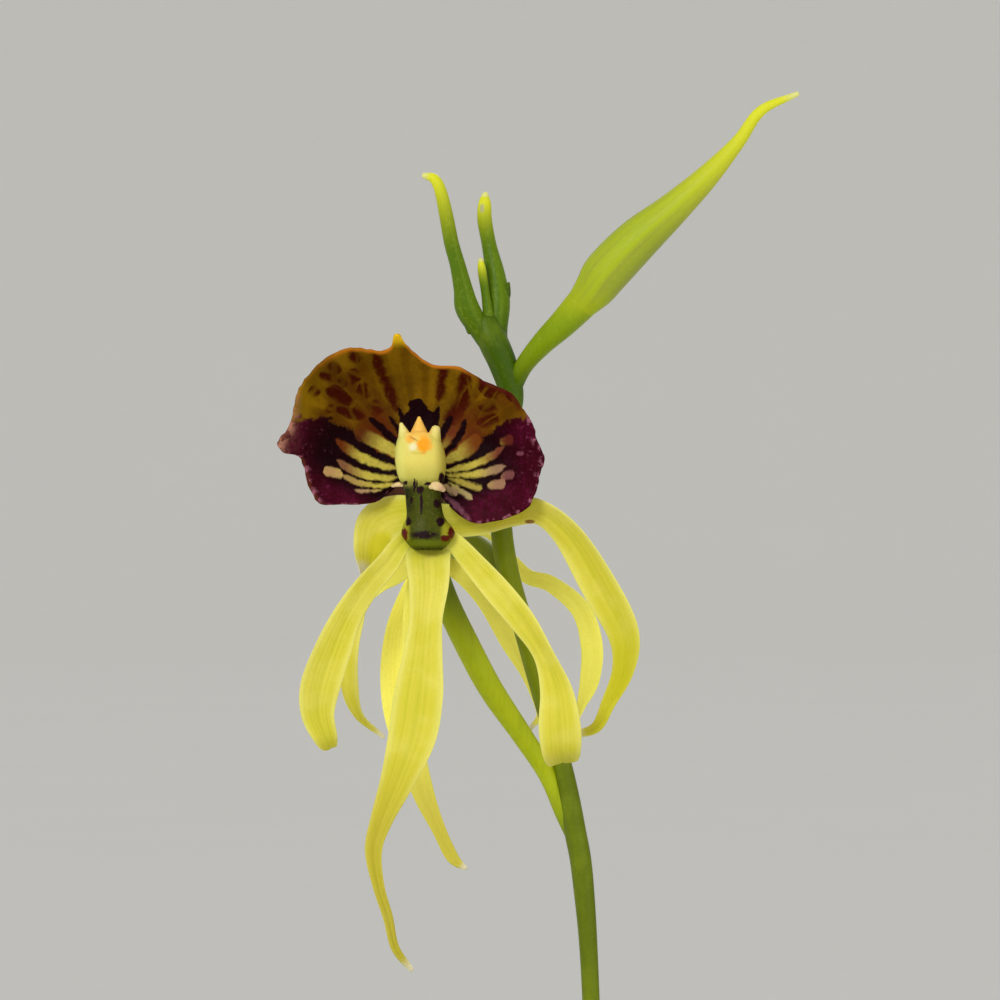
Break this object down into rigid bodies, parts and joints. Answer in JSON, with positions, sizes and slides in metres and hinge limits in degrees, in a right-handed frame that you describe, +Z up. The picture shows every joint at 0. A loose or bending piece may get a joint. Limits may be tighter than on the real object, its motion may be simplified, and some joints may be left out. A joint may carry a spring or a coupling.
{
  "type": "potted orchid",
  "caption": "Orchid in a plain clay pot: strap leaves on flattened bulbs in bark, and an upright spike of hanging ribbon petals under dark shell lips, with buds.",
  "frame": {"origin": "middle of the pot's flat underside", "axes": "+Z up; the front flower faces -Y; +X to the right as seen from the front"},
  "size_m": [0.262, 0.241, 0.42],
  "materials": {
    "clay": "fired clay, unglazed, matt",
    "bark": "conifer bark chips, matt",
    "rhizome": "living stem and silvery roots, satin",
    "pseudobulb": "smooth living skin, satin",
    "papery_sheath": "dry papery bract, matt",
    "leaf": "smooth leaf, satin",
    "stem": "smooth green stem, satin",
    "pedicel": "smooth yellow-green stalk, satin",
    "bud": "smooth bud, satin",
    "tepal": "fine-grained petal, soft satin",
    "lip": "waxy petal, ochre with maroon bars and purple lobes",
    "column": "waxy cream, green and spotted below",
    "anther": "smooth cap"
  },
  "bodies": {
    "root": {"pot": "clay", "bark_medium": "bark", "rhizome_and_roots": "rhizome", "pseudobulb_1": "pseudobulb", "pseudobulb_2": "pseudobulb", "pseudobulb_3": "pseudobulb", "pseudobulb_4": "pseudobulb", "pseudobulb_5": "pseudobulb", "sheath_1a": "papery_sheath", "sheath_1b": "papery_sheath", "sheath_2a": "papery_sheath", "sheath_2b": "papery_sheath", "sheath_3a": "papery_sheath", "sheath_3b": "papery_sheath", "sheath_4a": "papery_sheath", "sheath_4b": "papery_sheath", "sheath_5a": "papery_sheath", "sheath_5b": "papery_sheath", "leaf_1a": "leaf", "leaf_1b": "leaf", "leaf_2a": "leaf", "leaf_2b": "leaf", "leaf_3a": "leaf", "leaf_3b": "leaf", "leaf_4a": "leaf", "leaf_5a": "leaf", "spathe": "papery_sheath", "spike_stem": "stem", "pedicel_front": "pedicel", "pedicel_rear": "pedicel", "pedicel_bud": "pedicel", "bud_large": "bud", "bud_left": "bud", "bud_middle": "bud", "bud_small": "bud", "front_dorsal_sepal": "tepal", "front_petal_left": "tepal", "front_petal_right": "tepal", "front_sepal_left": "tepal", "front_sepal_right": "tepal", "front_lip": "lip", "front_column": "column", "front_anther": "anther", "rear_dorsal_sepal": "tepal", "rear_petal_left": "tepal", "rear_petal_right": "tepal", "rear_sepal_left": "tepal", "rear_sepal_right": "tepal", "rear_lip": "lip", "rear_column": "column", "rear_anther": "anther"}
  },
  "joints": []
}
